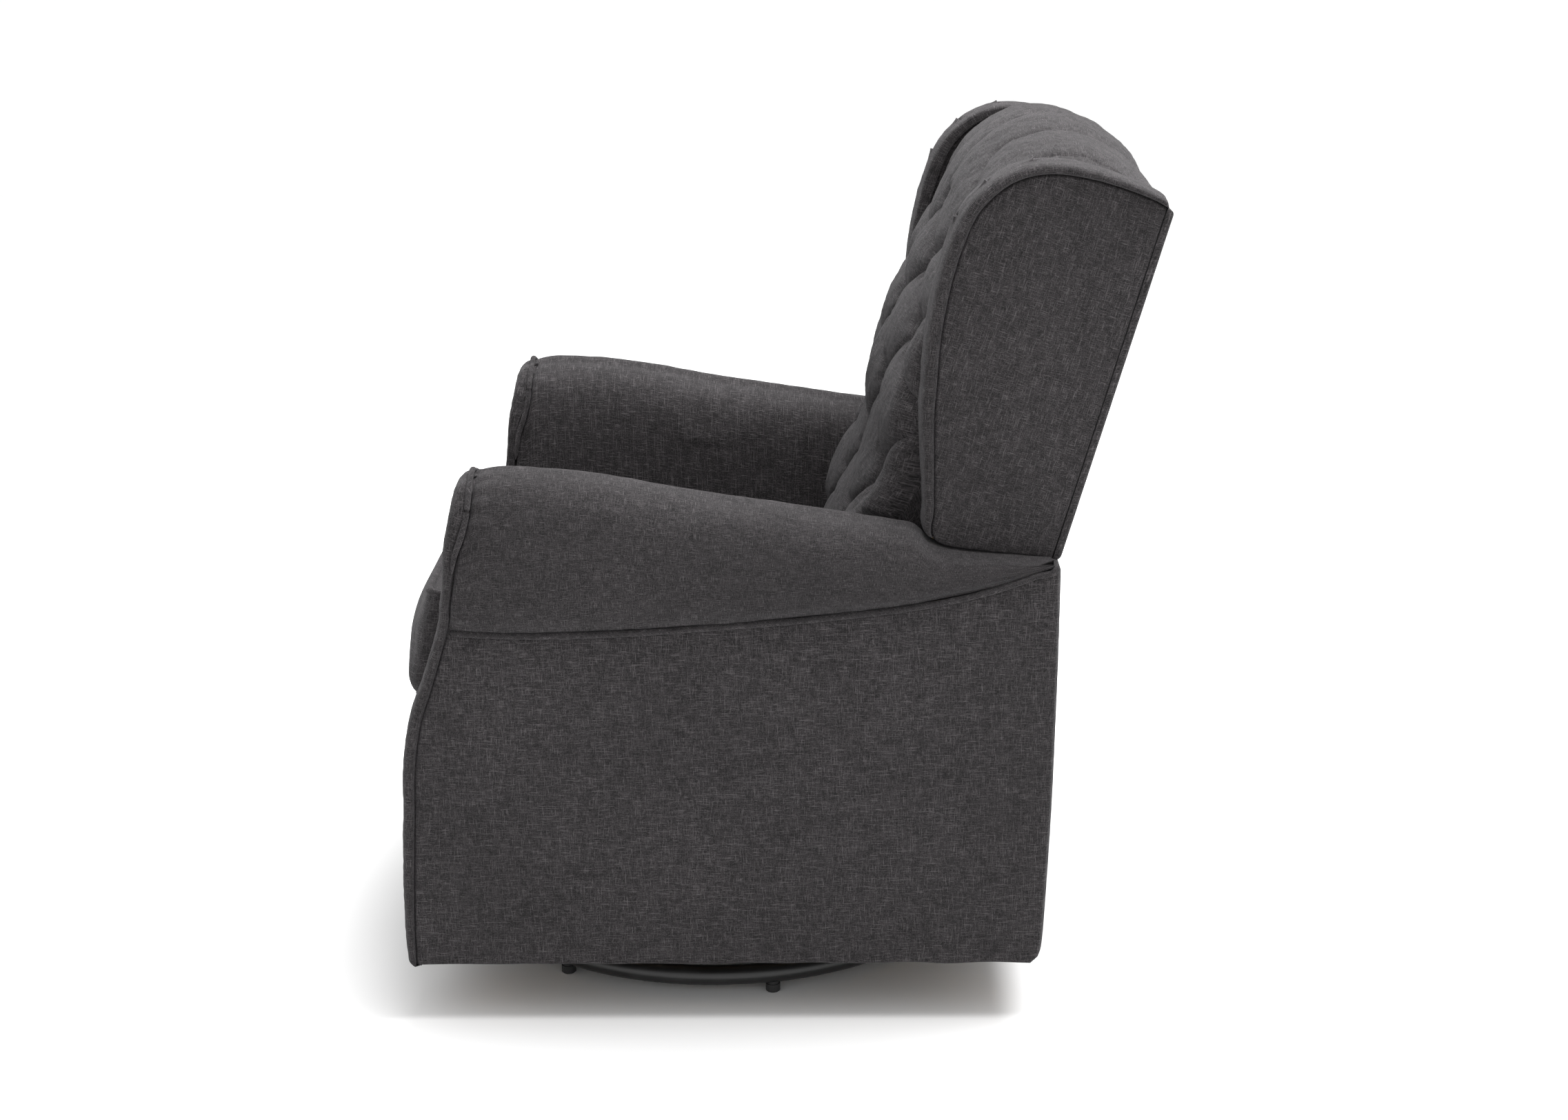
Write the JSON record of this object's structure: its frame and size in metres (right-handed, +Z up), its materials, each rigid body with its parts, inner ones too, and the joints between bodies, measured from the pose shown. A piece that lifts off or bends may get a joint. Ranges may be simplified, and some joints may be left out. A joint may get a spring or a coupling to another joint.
{
  "type": "glider nursery chair",
  "caption": "Upholstered wing-back chair whose seat glides on swing links and swivels on a ring base.",
  "frame": {"origin": "on the floor, under the middle of the overall box", "axes": "+Z up; the sitter faces -Y; +X is the sitter's left"},
  "size_m": [0.784, 0.922, 1.0475],
  "materials": {
    "upholstery_cloth": "matte",
    "base_black": "satin",
    "glide_rubber": "matte",
    "zinc_plate": "satin",
    "fastener_steel": "satin",
    "ball_steel": "polished",
    "bush_nylon": "satin",
    "spring_wire": "satin",
    "solid_timber": "matte",
    "plywood": "matte",
    "deck_felt": "matte",
    "dust_cloth": "matte",
    "elastic_webbing": "matte"
  },
  "bodies": {
    "base": {"base_ring": "base_black", "base_bars": "base_black", "foot_glides": "glide_rubber", "turntable_lower_plate": "zinc_plate", "base_bolts": "fastener_steel"},
    "swivel": {"turntable_upper_plate": "zinc_plate", "bearing_balls": "ball_steel", "kingpin": "zinc_plate", "spreader_front": "base_black", "spreader_rear": "base_black", "hangers": "base_black", "upper_pivot_pins": "fastener_steel", "swivel_bolts": "fastener_steel"},
    "front_links": {"front_link_left": "base_black", "front_link_right": "base_black", "front_link_bushes": "bush_nylon"},
    "rear_links": {"rear_link_left": "base_black", "rear_link_right": "base_black", "rear_link_bushes": "bush_nylon"},
    "seat": {"seat_bracket_left": "base_black", "seat_bracket_right": "base_black", "lower_pivot_pins": "fastener_steel", "bracket_bolts": "fastener_steel", "side_rail_left": "solid_timber", "side_rail_right": "solid_timber", "front_rail": "solid_timber", "rear_rail": "solid_timber", "corner_blocks": "solid_timber", "seat_springs": "spring_wire", "spring_clips": "zinc_plate", "seat_deck": "deck_felt", "seat_cushion": "upholstery_cloth", "dust_cover": "dust_cloth", "side_board_left": "plywood", "side_board_right": "plywood", "arm_posts": "solid_timber", "arm_top_board_left": "plywood", "arm_top_board_right": "plywood", "inside_arm_left": "upholstery_cloth", "inside_arm_right": "upholstery_cloth", "side_panel_left": "upholstery_cloth", "side_panel_right": "upholstery_cloth", "arm_pad_left": "upholstery_cloth", "arm_pad_right": "upholstery_cloth", "arm_facing_left": "upholstery_cloth", "arm_facing_right": "upholstery_cloth", "front_panel": "upholstery_cloth", "rear_panel": "upholstery_cloth", "back_stile_left": "solid_timber", "back_stile_right": "solid_timber", "back_top_rail": "solid_timber", "back_mid_rail": "solid_timber", "back_bottom_rail": "solid_timber", "back_webbing": "elastic_webbing", "back_pad": "upholstery_cloth", "wing_board_left": "plywood", "wing_board_right": "plywood", "wing_pad_left": "upholstery_cloth", "wing_pad_right": "upholstery_cloth", "outside_back_panel": "upholstery_cloth"}
  },
  "joints": [
    {"name": "swivel_turn", "type": "hinge", "parent": "base", "child": "swivel", "pos_m": [0, -0.07, 0.05], "axis": [0, 0, 1], "continuous": true},
    {"name": "front_link_swing", "type": "hinge", "parent": "swivel", "child": "front_links", "pos_m": [0, -0.2, 0.194], "axis": [1, 0, 0], "range_deg": [-28, 28]},
    {"name": "rear_link_swing", "type": "hinge", "parent": "swivel", "child": "rear_links", "pos_m": [0, 0.06, 0.194], "axis": [1, 0, 0], "range_deg": [-28, 28]},
    {"name": "seat_level", "type": "hinge", "parent": "front_links", "child": "seat", "pos_m": [0, -0.2, 0.092], "axis": [1, 0, 0], "range_deg": [-28, 28]}
  ],
  "couplings": [
    {"joint": "rear_link_swing", "follows": "front_link_swing", "ratio": 1},
    {"joint": "seat_level", "follows": "front_link_swing", "ratio": -1}
  ]
}
